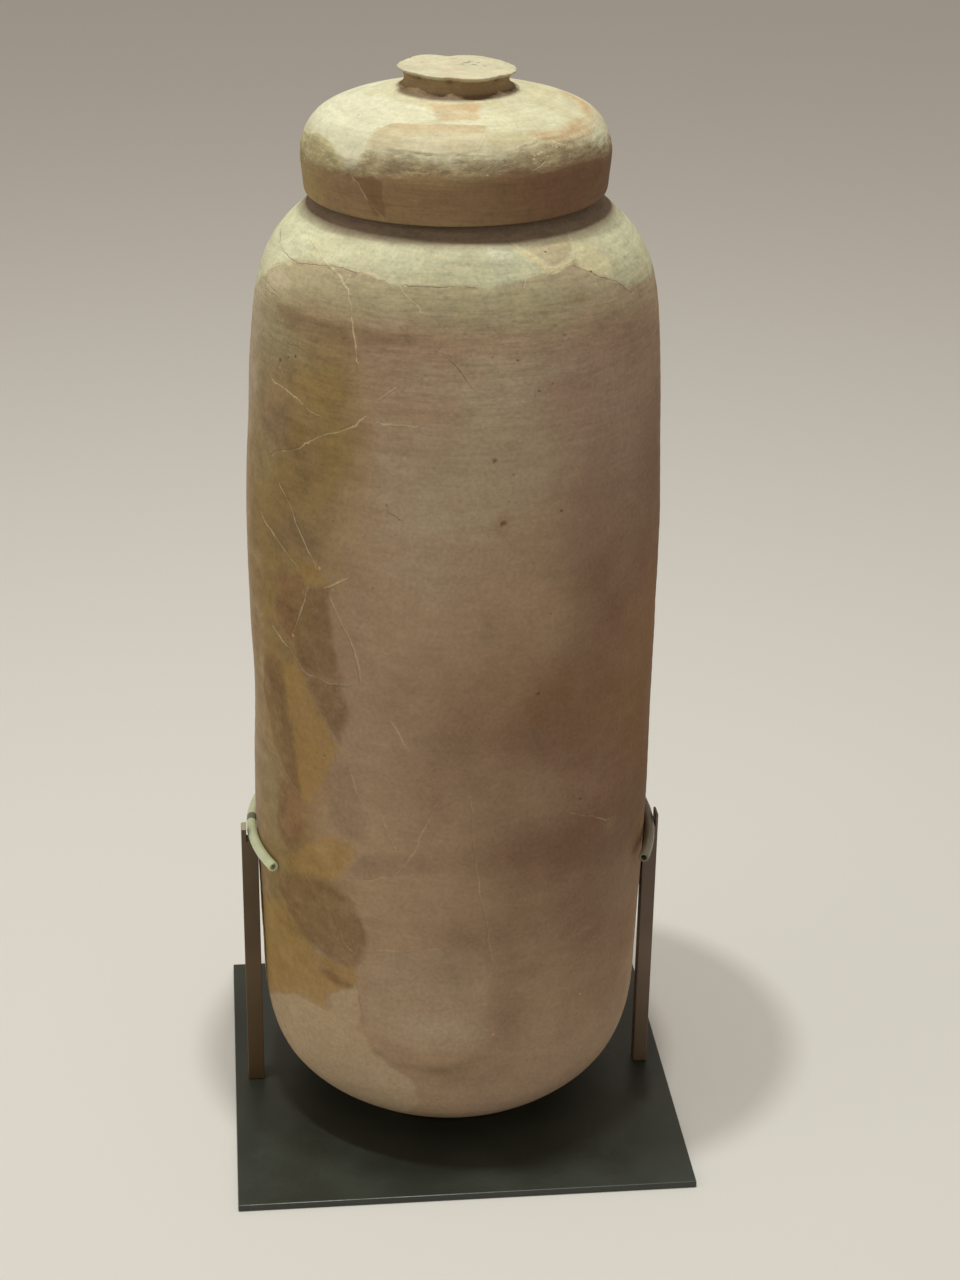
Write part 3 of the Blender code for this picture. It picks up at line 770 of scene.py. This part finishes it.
class Finish:
    """One material and its nodes."""

    def __init__(self, name):
        self.material = bpy.data.materials.new(name)
        self.material.use_nodes = True
        self.tree = self.material.node_tree
        self.shader = self.tree.nodes["Principled BSDF"]
        self.place = self.tree.nodes.new("ShaderNodeTexCoord").outputs["Object"]
        self.colour = None

    def put(self, socket, value):
        """Link a socket, or set its own number or colour."""
        if isinstance(value, Value):
            value = value.socket
        if isinstance(value, bpy.types.NodeSocket):
            self.tree.links.new(value, socket)
        elif isinstance(value, tuple) and len(value) == 3 and socket.type == "RGBA":
            socket.default_value = (*value, 1.0)
        else:
            socket.default_value = value

    def add(self, kind, settings, values):
        """A node of a type, with its settings, and the values or links of its sockets."""
        node = self.tree.nodes.new(kind)
        for name, value in settings.items():
            setattr(node, name, value)
        for name, value in values.items():
            self.put(node.inputs[name], value)
        return node

    def set(self, **values):
        """Set or link the shader's own sockets."""
        for name, value in values.items():
            self.put(self.shader.inputs[name.replace("_", " ")], value)

    def stored(self, name):
        """A value kept on the mesh."""
        node = self.add("ShaderNodeAttribute", {"attribute_name": name}, {})
        return Value(self, node.outputs["Fac"])

    def noise(self, scale, detail=3.0, roughness=0.55):
        """Soft noise; with two scales, one level and one upright, it is drawn out."""
        place = self.place
        if isinstance(scale, tuple):
            level, upright = scale
            stretch = {"Vector": place, "Scale": (level, level, upright)}
            place = self.add("ShaderNodeMapping", {}, stretch).outputs["Vector"]
            scale = 1.0
        values = {"Vector": place, "Scale": scale, "Detail": detail, "Roughness": roughness}
        return Value(self, self.add("ShaderNodeTexNoise", {}, values).outputs["Fac"])

    def grains(self, scale):
        """Distance to the nearest of scattered grains."""
        values = {"Vector": self.place, "Scale": scale}
        return Value(self, self.add("ShaderNodeTexVoronoi", {}, values).outputs["Distance"])

    def spots(self, places, find):
        """Distance to the nearest of some round spots, in spot radii."""
        nearest = None
        for *place, size in places:
            ends = {0: self.place, 1: tuple(find(*place))}
            node = self.add("ShaderNodeVectorMath", {"operation": "DISTANCE"}, ends)
            away = Value(self, node.outputs["Value"]) * (1 / (size * MM))
            nearest = nearest.calc("MINIMUM", away) if nearest else away
        return nearest

    def area(self, name, ragged, low, high, share=1.0):
        """How much of a stored area covers the clay, from outside its ragged edge to the full share."""
        return self.fade(self.stored(name) + ragged, low, high, share)

    def line(self, name, width, waver):
        """1 on a thin line where the signed distance is about 0, and only close to the line itself."""
        wavering = self.stored(f"{name}_side") + waver
        thin = 1 - self.fade(wavering.calc("ABSOLUTE"), width * 0.5, width * 1.4)
        return thin * (1 - self.fade(self.stored(f"{name}_near"), 2.6, 3.8))

    def coat(self, share, paint):
        """Lay a share of a paint over the colour so far."""
        self.colour = self.mix(share, self.colour, paint)

    def brighten(self, by):
        """Multiply the colour so far by a number."""
        grey = self.add("ShaderNodeCombineColor", {}, {0: by, 1: by, 2: by})
        self.colour = self.mix(1.0, self.colour, grey.outputs[0], "MULTIPLY")

    def dot(self, scale, patches, share):
        """Fine dark dots, here and there in patches."""
        dots = 1 - self.fade(self.grains(scale), 0.06, 0.14)
        self.coat(dots * self.fade(self.noise(patches, 2), 0.58, 0.66) * share, CRACK_DARK)

    def fade(self, value, low, high, end=1.0, start=0.0):
        """An eased rise from start to end as the value goes from low to high."""
        values = {"Value": value, "From Min": low, "From Max": high, "To Min": start, "To Max": end}
        node = self.add("ShaderNodeMapRange", {"interpolation_type": "SMOOTHSTEP"}, values)
        return Value(self, node.outputs["Result"])

    def mix(self, share, first, second, blend="MIX"):
        """Two colours mixed by a share."""
        node = self.add(
            "ShaderNodeMix",
            {"data_type": "RGBA", "blend_type": blend},
            {"Factor": share, 6: first, 7: second},
        )
        return node.outputs[2]

    def bumps(self, *layers):
        """Bump nodes in a row, each (height in mm, value)."""
        normal = None
        for height, value in layers:
            values = {"Strength": 1.0, "Distance": height * MM, "Height": value}
            if normal:
                values["Normal"] = normal
            normal = self.add("ShaderNodeBump", {}, values).outputs["Normal"]
        self.set(Normal=normal)


# Jar
BUFF = (0.43, 0.304, 0.188)
PINK_BUFF = (0.4, 0.28, 0.186)
GREY_BUFF = (0.5, 0.415, 0.29)
DARK_BUFF = (0.235, 0.155, 0.078)
WARM_BUFF = (0.292, 0.198, 0.07)
SHADE_BUFF = (0.21, 0.12, 0.07)
OLIVE_BUFF = (0.355, 0.312, 0.178)
RUDDY_BUFF = (0.27, 0.14, 0.05)
PLUM_BUFF = (0.36, 0.252, 0.202)
CREAM = (0.65, 0.664, 0.455)
CREAM_WORN = (0.545, 0.515, 0.335)
# painted shadow: the shoulder under the lid's rim, darkened as in shade
LID_SHADOW_PAINT = (0.25, 0.19, 0.13)
OCHRE = (0.405, 0.252, 0.07)
UMBER = (0.225, 0.128, 0.048)
RUST = (0.27, 0.135, 0.06)
MAUVE = (0.29, 0.19, 0.12)
PLASTER_PALE = (0.52, 0.405, 0.255)
PLASTER_CREAM = (0.69, 0.615, 0.37)
PINK_SHERD = (0.485, 0.39, 0.24)
CHALK_WHITE = (0.7, 0.67, 0.52)
FILLER_LINE = (0.665, 0.58, 0.35)
CRACK_DARK = (0.11, 0.07, 0.038)
# Lid
DOME_CREAM = (0.6, 0.578, 0.405)
DOME_BUFF = (0.54, 0.49, 0.318)
DOME_CHALK = (0.66, 0.645, 0.49)
DOME_BROWN = (0.48, 0.41, 0.24)
DOME_ROSE = (0.515, 0.352, 0.188)
DOME_SHERD = (0.505, 0.395, 0.24)
WORN_PALE = (0.385, 0.308, 0.172)
WORN_DARK = (0.25, 0.182, 0.098)
LIME_GRIT = (0.68, 0.65, 0.5)
# painted highlight along the top edge of the worn band
LEDGE_HIGHLIGHT = (0.64, 0.6, 0.44)
LID_PLASTER = (0.43, 0.38, 0.195)
WALL_BUFF = (0.35, 0.242, 0.116)
WALL_BROWN = (0.285, 0.186, 0.096)
WALL_YELLOW = (0.43, 0.33, 0.13)
WALL_SHADED = (0.198, 0.106, 0.058)
WALL_STAIN = (0.212, 0.125, 0.052)
KNOB_CREAM = (0.545, 0.505, 0.355)
KNOB_ROSE = (0.53, 0.4, 0.27)
KNOB_GRAIN = (0.2, 0.17, 0.12)
# painted shade: the stem under the knob's overhanging disc
STEM_SHADE = (0.33, 0.235, 0.125)
ROOT_SHADE = (0.125, 0.072, 0.038)
LID_LINE = (0.66, 0.56, 0.35)
# Paint and plastic, each in two shades
PLATE_PAINT = (0.028, 0.034, 0.026), (0.038, 0.046, 0.035)
LEFT_POST_PAINT = (0.124, 0.078, 0.032), (0.099, 0.063, 0.026)
RIGHT_POST_PAINT = (0.176, 0.12, 0.08), (0.144, 0.099, 0.066)
ARM_PAINT = (0.19, 0.2, 0.135), (0.155, 0.165, 0.112)
TUBING = (0.715, 0.79, 0.535), (0.635, 0.705, 0.465)
# painted shade: the same tubing, darker, for the right arm that lies in the jar's shadow
SHADED_TUBING = (0.235, 0.212, 0.152), (0.2, 0.18, 0.128)
# painted highlight: the left post's top face, pale as lit from above
LIT_TOP_PAINT = (0.56, 0.52, 0.33)
DUST = (0.35, 0.33, 0.28)


def clay_for_jar():
    """Buff clay with stains, sherds of other colours, fills, a cream shoulder and mended joins, with
    painted shade on the right side and under the lid's rim.
    """
    f = Finish("jar clay")
    fine = f.noise(400, 4, 0.65)
    level = f.noise((12, 90), 4, 0.6)
    brushed = f.noise((52, 420), 5, 0.65)
    large = f.noise(6, 3)
    medium = f.noise(26, 5, 0.6)
    mottle = f.noise(80, 6, 0.72)
    drift = medium - 0.5
    edge = (f.noise(120, 4) - 0.5) * 3.0
    uneven = edge + (f.noise(34, 3) - 0.5) * 7.0
    high = f.stored("high")
    warm = f.stored("warm")

    # the fired clay, what differs from sherd to sherd, and painted shade over the right side (the shaded
    # clouds)
    f.colour = f.mix(f.fade(large + drift * 0.5, 0.36, 0.64), BUFF, PINK_BUFF)
    for name, ragged, start, end, share, paint in (
        ("faint", uneven, -2.5, 2.5, 0.22, GREY_BUFF),
        ("warm", drift * 0.8, 0.0, 1.0, 1.0, WARM_BUFF),
        ("olive", drift * 0.8, 0.0, 1.0, 0.8, OLIVE_BUFF),
        ("shaded", drift * 0.5, 0.0, 1.2, 1.0, SHADE_BUFF),
        ("ruddy", drift * 0.5, 0.0, 1.0, 0.8, RUDDY_BUFF),
        ("plum", drift * 0.3, 0.0, 1.0, 0.8, PLUM_BUFF),
    ):
        f.coat(f.area(name, ragged, start, end, share), paint)
    patchy = (f.noise((26, 66), 5, 0.62) - 0.5) * (high + 0.5)
    tone = f.stored("tone") + drift * 1.4 + patchy * 1.3 + (level - 0.5) * 0.6
    f.coat(f.fade(tone, 0.1, 1.2, 0.8), GREY_BUFF)
    f.coat(f.fade(tone, -0.1, -1.2, 0.85), DARK_BUFF)
    for name, paint, share, soft in (
        ("ochre", OCHRE, 0.75, 2.6),
        ("umber", UMBER, 0.8, 3.0),
        ("rust", RUST, 0.65, 3.6),
        ("mauve", MAUVE, 0.5, 4.0),
    ):
        rubbed = f.mix(f.fade(mottle, 0.35, 0.7, 0.45), paint, f.colour)
        f.coat(f.area(name, uneven, -soft, soft, share), rubbed)

    # the cream slip on the shoulder, the plaster and the mortar
    cream = f.area("cream", edge * 1.3, -2.0, 2.6, 0.7) + f.area("cream", edge * 3.0, -30.0, 0.0, 0.2)
    slip = f.mix(f.fade(medium + (brushed - 0.5) * 0.6, 0.3, 0.85), CREAM, CREAM_WORN)
    f.coat(cream, slip)
    plaster = f.mix(f.fade(high, 0.0, 0.2), PLASTER_PALE, PLASTER_CREAM)
    chalky = f.fade(mottle + (brushed - 0.5) * 0.5, 0.44, 0.6, 1.0, 0.12)
    for name, paint, share, soft, cover in (
        ("blush", PINK_SHERD, 0.75, 1.4, 1.0),
        ("plaster", plaster, 0.6, 1.8, 1.0),
        ("chalk", CHALK_WHITE, 0.8, 1.0, chalky),
    ):
        f.coat(f.area(name, uneven * 0.6, -soft, soft, share) * cover, paint)
    f.coat(f.area("filled", edge * 0.4, -0.8, 0.8, 0.88), FILLER_LINE)
    # painted shadow under the lid's rim
    f.coat(f.stored("lid_shadow"), LID_SHADOW_PAINT)

    # joins and cracks
    waver = (f.noise(90, 3) - 0.5) * 2.2 + (f.noise(260, 3) - 0.5) * 1.6
    broken = f.fade(f.noise(38, 3), 0.36, 0.56)
    thick = f.fade(f.noise(45, 2), 0.35, 0.65, 0.62, 0.2)
    pale_line = f.line("join", thick, waver) * (broken * 0.8 + 0.2)
    shadow_line = f.line("join", 0.35, waver + 1.0) * (1 - broken)
    dark_line = f.line("hair", 0.3, waver) * (broken * 0.85 + 0.15)
    crisp = f.stored("crisp")
    f.coat(pale_line * crisp * 0.62, FILLER_LINE)
    f.coat(shadow_line * crisp * 0.35, CRACK_DARK)
    f.coat(dark_line * crisp * 0.45, CRACK_DARK)

    # brush marks, blotches, grains and specks over everything, with the dull clouds, partly painted shade
    # and light
    lively = f.fade(warm, 0.0, 1.0, 0.72, 0.3).calc("MAXIMUM", high * 0.58)
    streak = (brushed - 0.5) * (high * 0.75 + 0.14) + (level - 0.5) * 0.14 + (fine - 0.5) * 0.6
    smears = f.noise((64, 130), 4, 0.6)
    blotches = (f.noise(30, 3, 0.6) - 0.5) * f.fade(warm, 0.0, 1.0, 0.55)
    blotches = blotches + (smears - 0.5) * f.fade(warm, 0.0, 1.0, 0.6, 0.1)
    dull = f.stored("dull") * -0.25
    f.brighten(1 + streak + blotches + (mottle - 0.5) * lively + dull)
    f.dot(150, 60, 0.5)
    for places, paint in ((PALE_SPECKS, FILLER_LINE), (JAR_SPOTS, CRACK_DARK)):
        spots = f.spots(places, jar_place)
        speck = 1 - f.fade(spots + (fine - 0.5) * 0.9, 0.3, 1.2)
        f.coat(speck * 0.7, paint)
    f.set(Base_Color=f.colour, Roughness=f.fade(medium, 0.3, 0.7, 0.92, 0.78))
    pits = 1 - f.fade(f.grains(120), 0.0, 0.28)
    f.bumps(
        (0.1, level),
        (0.18, brushed * (high * 0.9 + 0.1)),
        (0.18, f.noise(420, 5, 0.6)),
        (0.2, mottle),
        (0.25, 1 - pits * f.fade(medium, 0.45, 0.6)),
        (0.18, pale_line * 0.5 - dark_line - shadow_line * 0.6),
        (0.5, f.fade(spots, 0.2, 1.2)),
    )
    return f.material


def clay_for_lid():
    """Cream clay on the dome, a worn band, a brown wall and a cream knob, with painted shade on the wall's
    right, on the stem and at its foot, and a painted highlight on the band's edge.
    """
    f = Finish("lid clay")
    fine = f.noise(400, 4, 0.65)
    level = f.noise((14, 200), 4, 0.6)
    brushed = f.noise((34, 620), 5, 0.65)
    large = f.noise(12, 3)
    medium = f.noise(38, 5, 0.6)
    mottle = f.noise(95, 6, 0.72)
    drift = medium - 0.5
    edge = (f.noise(150, 4) - 0.5) * 2.4
    uneven = edge + (f.noise(45, 3) - 0.5) * 5.0

    # the dome and its sherds
    f.colour = f.mix(f.fade(large + drift * 0.7, 0.35, 0.65), DOME_CREAM, DOME_BUFF)
    f.coat(f.area("white", edge, -1.0, 1.4, 0.6), DOME_CHALK)
    f.coat(f.area("tan", uneven, -3.0, 4.0, 0.6), DOME_BROWN)
    stripes = f.noise((24, 300), 3, 0.6)
    striped = f.fade(stripes + drift * 1.2, 0.24, 0.62, 1.0, 0.45)
    f.coat(f.area("pink", uneven, -2.5, 3.0, 0.85) * striped, DOME_ROSE)
    fading = f.fade(f.stored("drop"), 13.0, 4.0, 1.0, 0.45)
    f.coat(f.area("sherd", edge * 0.5, -0.5, 0.6, 0.85) * fading, DOME_SHERD)

    # the worn band round the dome's foot
    worn = f.mix(f.fade(medium + (f.noise(120, 4) - 0.5), 0.3, 0.7), WORN_PALE, WORN_DARK)
    worn_edge = f.stored("band") + uneven * 0.5
    f.coat(f.fade(worn_edge, -1.0, 1.0, 0.26), worn)
    f.coat(f.fade(worn_edge, 0.0, 9.0, 0.92), worn)
    grit = (1 - f.fade(f.grains(300), 0.12, 0.26)) * f.fade(mottle, 0.48, 0.58)
    f.coat(grit * f.fade(f.stored("band"), -9.0, 0.0, 0.5), LIME_GRIT)
    # painted highlight: a pale line along the top edge of the worn band
    ledge_highlight = 1 - f.fade((worn_edge + 0.4).calc("ABSOLUTE"), 0.25, 0.8)
    f.coat(ledge_highlight * f.fade(medium, 0.42, 0.58, 0.6), LEDGE_HIGHLIGHT)
    f.coat(f.area("filler", edge * 0.5, -0.7, 0.7, 0.72), LID_PLASTER)

    # the upright wall
    wall = f.mix(f.fade(large + (level - 0.5) * 0.6, 0.35, 0.65), WALL_BUFF, WALL_BROWN)
    wall = f.mix(f.stored("west") * 0.6, wall, WALL_YELLOW)
    wall = f.mix(f.stored("east") * 0.9, wall, WALL_SHADED)
    f.coat(f.area("wall", uneven * 0.8, -4.0, 3.0), wall)
    f.coat(f.area("stain", uneven * 0.3, -1.0, 1.2, 0.75), WALL_STAIN)

    # the knob and its stem
    knob = f.mix(f.fade(f.noise(60, 4), 0.48, 0.66, 0.6), KNOB_CREAM, KNOB_ROSE)
    grains = 1 - f.fade(f.spots(KNOB_SPECKS, knob_place) + (fine - 0.5) * 1.6, 0.4, 1.1)
    knob = f.mix(grains * 0.7, knob, KNOB_GRAIN)
    # painted shade on the stem, under the knob's disc
    knob = f.mix(f.stored("stem"), knob, STEM_SHADE)
    f.coat(f.fade(f.stored("knob"), 0.2, 0.8), knob)
    f.coat(f.area("root", edge * 0.15, 0.1, 0.9, 0.9), ROOT_SHADE)

    waver = (f.noise(110, 3) - 0.5) * 1.8 + (f.noise(280, 3) - 0.5) * 1.4
    pale_line = f.line("join", f.fade(f.noise(60, 2), 0.35, 0.65, 0.55, 0.15), waver)
    f.coat(pale_line * f.fade(f.stored("wall"), -2.0, 2.0, 0.3, 0.6), LID_LINE)
    rough = f.fade(f.stored("band"), -3.0, 4.0) * (1 - f.fade(f.stored("wall"), -2.0, 3.0))
    streak = (brushed - 0.5) * 0.55 + (level - 0.5) * 0.2 + (fine - 0.5) * 0.5
    f.brighten(1 + streak + (mottle - 0.5) * (rough * 0.6 + 0.55))
    f.dot(190, 70, 0.6)
    f.set(Base_Color=f.colour, Roughness=f.fade(medium, 0.3, 0.7, 0.92, 0.78))
    f.bumps(
        (0.12, level),
        (0.14, brushed),
        (0.16, f.noise(420, 5, 0.6)),
        (1.1, f.noise((190, 300), 6, 0.76) * rough),
        (0.2, pale_line * 0.5),
    )
    return f.material


def painted(name, low, high, roughness, lit_top=None, lit_top_from=0.0):
    """Satin paint, a little dusty and rubbed; above a height it may take a painted highlight, paler as a
    top face lit from above.
    """
    f = Finish(name)
    cloud = f.noise(16, 3)
    fine = f.noise(300, 3)
    f.colour = f.mix(f.fade(cloud, 0.35, 0.65), low, high)
    if lit_top:
        # painted highlight: paler above a height, as a top face lit from above
        up = Value(f, f.add("ShaderNodeSeparateXYZ", {}, {0: f.place}).outputs["Z"])
        f.coat(f.fade(up + (fine - 0.5) * 0.0006, lit_top_from, lit_top_from + 0.0004), lit_top)
    dust = f.fade(f.grains(260), 0.0, 0.1, 0.0, 1.0) * f.fade(f.noise(40, 2), 0.55, 0.65)
    gloss = f.fade(cloud + (fine - 0.5) * 0.5, 0.3, 0.7, roughness + 0.08, roughness - 0.06)
    f.set(Base_Color=f.mix(dust * 0.35, f.colour, DUST), Roughness=gloss)
    f.bumps((0.05, fine), (0.03, cloud))
    return f.material


def plastic(name, low, high, roughness):
    """Smooth soft tubing, slightly yellowed in places."""
    f = Finish(name)
    cloud = f.noise(60, 3)
    f.colour = f.mix(f.fade(cloud, 0.35, 0.65), low, high)
    gloss = f.fade(f.noise(200, 3), 0.3, 0.7, roughness + 0.08, roughness - 0.05)
    f.set(Base_Color=f.colour, Roughness=gloss)
    f.bumps((0.04, f.noise(350, 3)))
    return f.material


def plain(name, colour, roughness):
    """One even colour."""
    f = Finish(name)
    f.set(Base_Color=colour, Roughness=roughness)
    return f.material


# ---- the cradle

# -1 is the left side, 1 the right; reaches, overhangs and collar places are degrees round the bend
ARM_Z = 0.1978
ARM_OUT = 0.1338
ARM_BEND = {-1: 0.1338, 1: 0.18}
ARM_REACH = {-1: 25.9, 1: 21.3}
POST_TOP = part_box("left_post")[1].z
ROD_RADIUS = 0.0015
COLLAR_RADIUS = 0.0033
SLEEVE_RADIUS = 0.0034
SLEEVE_BORE = 0.0018
SLEEVE_OVERHANG = 2.0
COLLAR_FRONT = 1.2
COLLAR_BACK = 4.7
COLLAR_SLACK = 0.0003  # between the collar and the sleeves beside it
COLLAR_CLEAR = 0.00005  # the collar's own wall stays just off the rod inside it
TUBE_SIDES = 24
ARC_STEP = 1.5
END_ROUND = 0.0005
END_ANGLE = math.radians(50)
SMOOTH_ANGLE = math.radians(45)
LIT_TOP_DEPTH = 0.0007  # the left post's top is painted paler this far down, a painted highlight of its lit top face


def bent_rod(name, radius, bore, start, end, side):
    """A round bar or tube bent round the jar, between two angles from the arm's middle."""
    bend = ARM_BEND[side]
    middle = Vector((side * (ARM_OUT - bend), JAR_MIDDLE.y, ARM_Z))
    first = math.radians(start if side > 0 else 180 - start)
    place = middle + bend * Vector((math.cos(first), math.sin(first), 0))
    bpy.ops.object.select_all(action="DESELECT")
    bpy.ops.mesh.primitive_circle_add(
        vertices=TUBE_SIDES,
        radius=radius,
        fill_type="NGON",
        location=place,
        rotation=(math.pi / 2, 0, first),
    )
    piece = bpy.context.object
    piece.name = piece.data.name = name
    settle(piece)
    bpy.ops.object.mode_set(mode="EDIT")
    bpy.ops.mesh.select_all(action="SELECT")
    if bore:
        bpy.ops.mesh.inset(thickness=radius - bore)
        bpy.ops.mesh.delete(type="FACE")
        bpy.ops.mesh.select_all(action="SELECT")
    steps = round(abs(end - start) / ARC_STEP)
    angle = -math.radians(end - start) * side
    bpy.ops.mesh.spin(steps=steps, angle=angle, center=middle, axis=(0, 0, 1))
    bpy.ops.mesh.select_all(action="SELECT")
    bpy.ops.mesh.remove_doubles(threshold=1e-6)
    bpy.ops.mesh.normals_make_consistent(inside=False)
    bpy.ops.object.mode_set(mode="OBJECT")
    return piece


def make_cradle():
    """Both arms with their collars, and the tubing on them."""
    metal = painted("arm paint", *ARM_PAINT, 0.42)
    tubing = plastic("tubing", *TUBING, 0.2)
    shaded_tubing = plastic("shaded tubing", *SHADED_TUBING, 0.36)
    # the right arm's sleeves take the darker tubing as painted shade
    for word, side, rubber in (("left", -1, tubing), ("right", 1, shaded_tubing)):
        reach = ARM_REACH[side]
        tip = reach - SLEEVE_OVERHANG
        slack = math.degrees(COLLAR_SLACK / ARM_BEND[side])
        arm = bent_rod(f"{word}_arm_rod", ROD_RADIUS, 0, -tip, tip, side)
        collar_ends = COLLAR_FRONT + slack, COLLAR_BACK - slack
        collar = bent_rod("collar", COLLAR_RADIUS, ROD_RADIUS + COLLAR_CLEAR, *collar_ends, side)
        pick(arm, collar)
        bpy.ops.object.join()
        pieces = [(arm, f"{word}_arm", metal, "rod metal")]
        for where, start, end in (("front", -reach, COLLAR_FRONT), ("rear", COLLAR_BACK, reach)):
            sleeve = bent_rod(f"{word}_{where}_tube", SLEEVE_RADIUS, SLEEVE_BORE, start, end, side)
            pieces.append((sleeve, f"{word}_{where}_sleeve", rubber, "tubing"))
        for piece, node, material, slot in pieces:
            edge = {"limit_method": "ANGLE", "angle_limit": END_ANGLE}
            finish_with(piece, "BEVEL", width=END_ROUND, segments=3, **edge)
            pick(piece)
            bpy.ops.object.shade_smooth_by_angle(angle=SMOOTH_ANGLE)
            piece.data.materials.append(material)
            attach(piece, "root")
            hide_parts(node)


def dress_solids():
    """Paint on the solids whose own shape shows."""
    paints = {
        "base_plate": painted("plate paint", *PLATE_PAINT, 0.38),
        "left_post": painted("left post paint", *LEFT_POST_PAINT, 0.46, LIT_TOP_PAINT, POST_TOP - LIT_TOP_DEPTH),
        "right_post": painted("right post paint", *RIGHT_POST_PAINT, 0.46),
    }
    for node, paint in paints.items():
        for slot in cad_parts[node].material_slots:
            slot.material = paint


# ---- the studio

SKY = (1.0, 0.87, 0.74, 1.0)
SKY_STRENGTH = 0.37
FLOOR_SIZE = 40.0
FLOOR_Z = -0.0002
FLOOR_COLOUR = (0.8, 0.79, 0.77)
# name, width, power, place, target, colour
LAMPS = [
    ("left overhead", 0.1, 14.75, (-0.29, -0.08, 2.4), (0.0, 0.0127, 0.4), (0.97, 1.0, 0.93)),
    ("right overhead", 0.1, 14.75, (0.03, -0.08, 2.4), (0.0, 0.0127, 0.4), (0.97, 1.0, 0.93)),
    ("left fill", 2.0, 8.0, (-2.6, -0.6, 1.4), (0.0, 0.0, 0.35), (1.0, 0.93, 0.82)),
]
LENS = 68.59
SENSOR = 36.0
EYE = (-0.13847, -1.42589, 0.99989)
EYE_YAW, EYE_DOWN, EYE_ROLL = 6.224, 24.885, 0.863  # degrees to the right, down, and round


def hang(lamp, size, power, place, target, colour):
    """A round soft lamp, turned to its target."""
    light = bpy.data.lights.new(lamp, "AREA")
    light.shape = "DISK"
    light.size = size
    light.energy = power
    light.color = colour
    thing = bpy.data.objects.new(lamp, light)
    bpy.context.scene.collection.objects.link(thing)
    thing.location = place
    thing.rotation_euler = (Vector(target) - Vector(place)).to_track_quat("-Z", "Y").to_euler()


def make_studio():
    """The floor, the light and the camera."""
    scene = bpy.context.scene
    scene.view_settings.view_transform = "Standard"
    world = bpy.data.worlds.new("studio")
    scene.world = world
    world.use_nodes = True
    sky = world.node_tree.nodes["Background"]
    sky.inputs["Color"].default_value = SKY
    sky.inputs["Strength"].default_value = SKY_STRENGTH

    bpy.ops.object.select_all(action="DESELECT")
    bpy.ops.mesh.primitive_plane_add(size=FLOOR_SIZE, location=(0, 0, FLOOR_Z))
    floor = bpy.context.object
    floor.name = "floor"
    floor.data.materials.append(plain("pale floor", FLOOR_COLOUR, 0.9))
    for lamp in LAMPS:
        hang(*lamp)

    camera = bpy.data.cameras.new("camera")
    camera.lens = LENS
    camera.sensor_width = SENSOR
    camera.clip_end = 60
    eye = bpy.data.objects.new("camera", camera)
    scene.collection.objects.link(eye)
    yaw, down, roll = (math.radians(a) for a in (EYE_YAW, EYE_DOWN, EYE_ROLL))
    ahead = Vector((math.sin(yaw) * math.cos(down), math.cos(yaw) * math.cos(down), -math.sin(down)))
    right = Vector((math.cos(yaw), -math.sin(yaw), 0))
    up = right.cross(ahead)
    right, up = (
        right * math.cos(roll) + up * math.sin(roll),
        up * math.cos(roll) - right * math.sin(roll),
    )
    turn = Matrix((right, up, -ahead)).transposed()
    eye.matrix_world = Matrix.Translation(EYE) @ turn.to_4x4()
    scene.camera = eye


jar = make_jar()
lid = make_lid()
jar.data.materials.append(clay_for_jar())
lid.data.materials.append(clay_for_lid())
make_cradle()
dress_solids()
make_studio()
